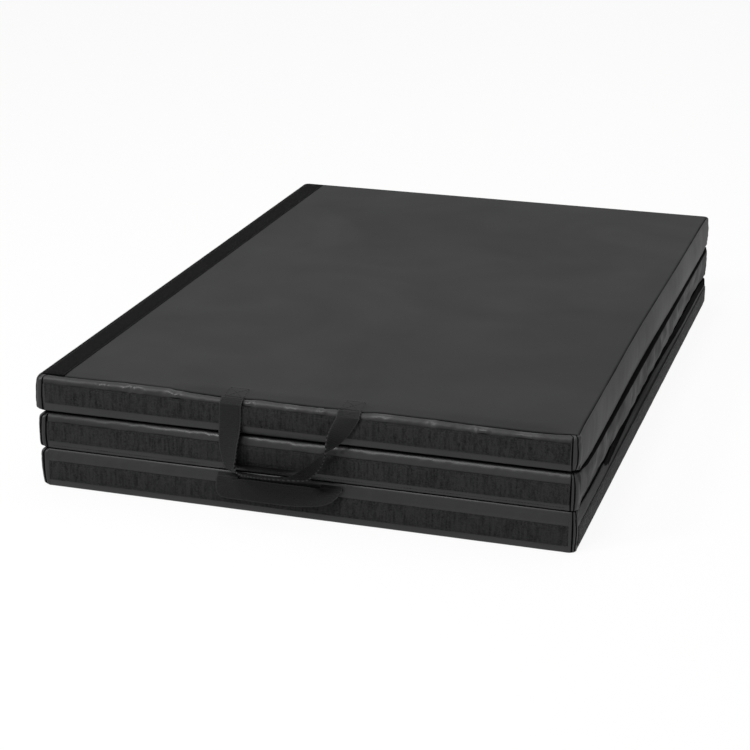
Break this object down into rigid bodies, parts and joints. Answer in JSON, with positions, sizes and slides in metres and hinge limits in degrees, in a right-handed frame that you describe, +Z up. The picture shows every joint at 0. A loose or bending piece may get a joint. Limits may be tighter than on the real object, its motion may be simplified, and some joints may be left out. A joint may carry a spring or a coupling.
{
  "type": "folding exercise mat",
  "caption": "Folding exercise mat of thick foam panels in stitched vinyl covers, folded into a flat stack, with hook-and-loop strips along its sides and webbing carry handles.",
  "frame": {"origin": "middle of the folded stack's footprint, on the underside of the bottom panel", "axes": "+X to the right along the front wall, which has the handles; +Y from the front to the back, along the panels' long side; +Z up through the stack"},
  "size_m": [0.6047, 0.9293, 0.1307],
  "materials": {
    "foam": "closed-cell foam",
    "skin_vinyl": "matt black coated fabric with a fine leather grain",
    "wall_vinyl": "satin black coated fabric with a fine leather grain",
    "hook_tape": "black hook tape",
    "loop_tape": "black loop tape",
    "hinge_web": "satin black coated fabric",
    "webbing": "black woven webbing"
  },
  "bodies": {
    "bottom_panel": {"bottom_foam_core": "foam", "bottom_play_skin": "skin_vinyl", "bottom_underside_skin": "skin_vinyl", "bottom_front_wall": "wall_vinyl", "bottom_back_wall": "wall_vinyl", "bottom_left_wall": "wall_vinyl", "bottom_right_wall": "wall_vinyl", "bottom_front_hook_strip": "hook_tape", "bottom_back_loop_strip": "loop_tape", "bottom_end_hook_strip": "hook_tape", "bottom_handle_left_end": "webbing", "bottom_handle_right_end": "webbing", "left_hinge_lower_leaf": "hinge_web"},
    "middle_panel": {"middle_foam_core": "foam", "middle_play_skin": "skin_vinyl", "middle_underside_skin": "skin_vinyl", "middle_front_wall": "wall_vinyl", "middle_back_wall": "wall_vinyl", "middle_left_wall": "wall_vinyl", "middle_right_wall": "wall_vinyl", "middle_front_hook_strip": "hook_tape", "middle_back_loop_strip": "loop_tape", "left_hinge_upper_leaf": "hinge_web", "right_hinge_lower_leaf": "hinge_web"},
    "top_panel": {"top_foam_core": "foam", "top_play_skin": "skin_vinyl", "top_underside_skin": "skin_vinyl", "top_front_wall": "wall_vinyl", "top_back_wall": "wall_vinyl", "top_left_wall": "wall_vinyl", "top_right_wall": "wall_vinyl", "top_front_hook_strip": "hook_tape", "top_back_loop_strip": "loop_tape", "top_end_loop_strip": "loop_tape", "top_handle_left_end": "webbing", "top_handle_right_end": "webbing", "right_hinge_upper_leaf": "hinge_web"},
    "top_handle": {"top_handle_strap": "webbing"},
    "bottom_handle": {"bottom_handle_strap": "webbing"}
  },
  "joints": [
    {"name": "left_fold", "type": "hinge", "parent": "bottom_panel", "child": "middle_panel", "pos_m": [-0.3015, 0, 0.04263], "axis": [0, -1, 0], "range_deg": [0, 180]},
    {"name": "right_fold", "type": "hinge", "parent": "middle_panel", "child": "top_panel", "pos_m": [0.3015, 0, 0.08637], "axis": [0, 1, 0], "range_deg": [0, 180]},
    {"name": "top_handle_swing", "type": "hinge", "parent": "top_panel", "child": "top_handle", "pos_m": [-0.012, -0.4535, 0.1211], "axis": [-1, 0, 0], "range_deg": [0, 150]},
    {"name": "bottom_handle_swing", "type": "hinge", "parent": "bottom_panel", "child": "bottom_handle", "pos_m": [-0.024, -0.4536, 0.0387], "axis": [-1, 0, 0], "range_deg": [0, 80]}
  ]
}
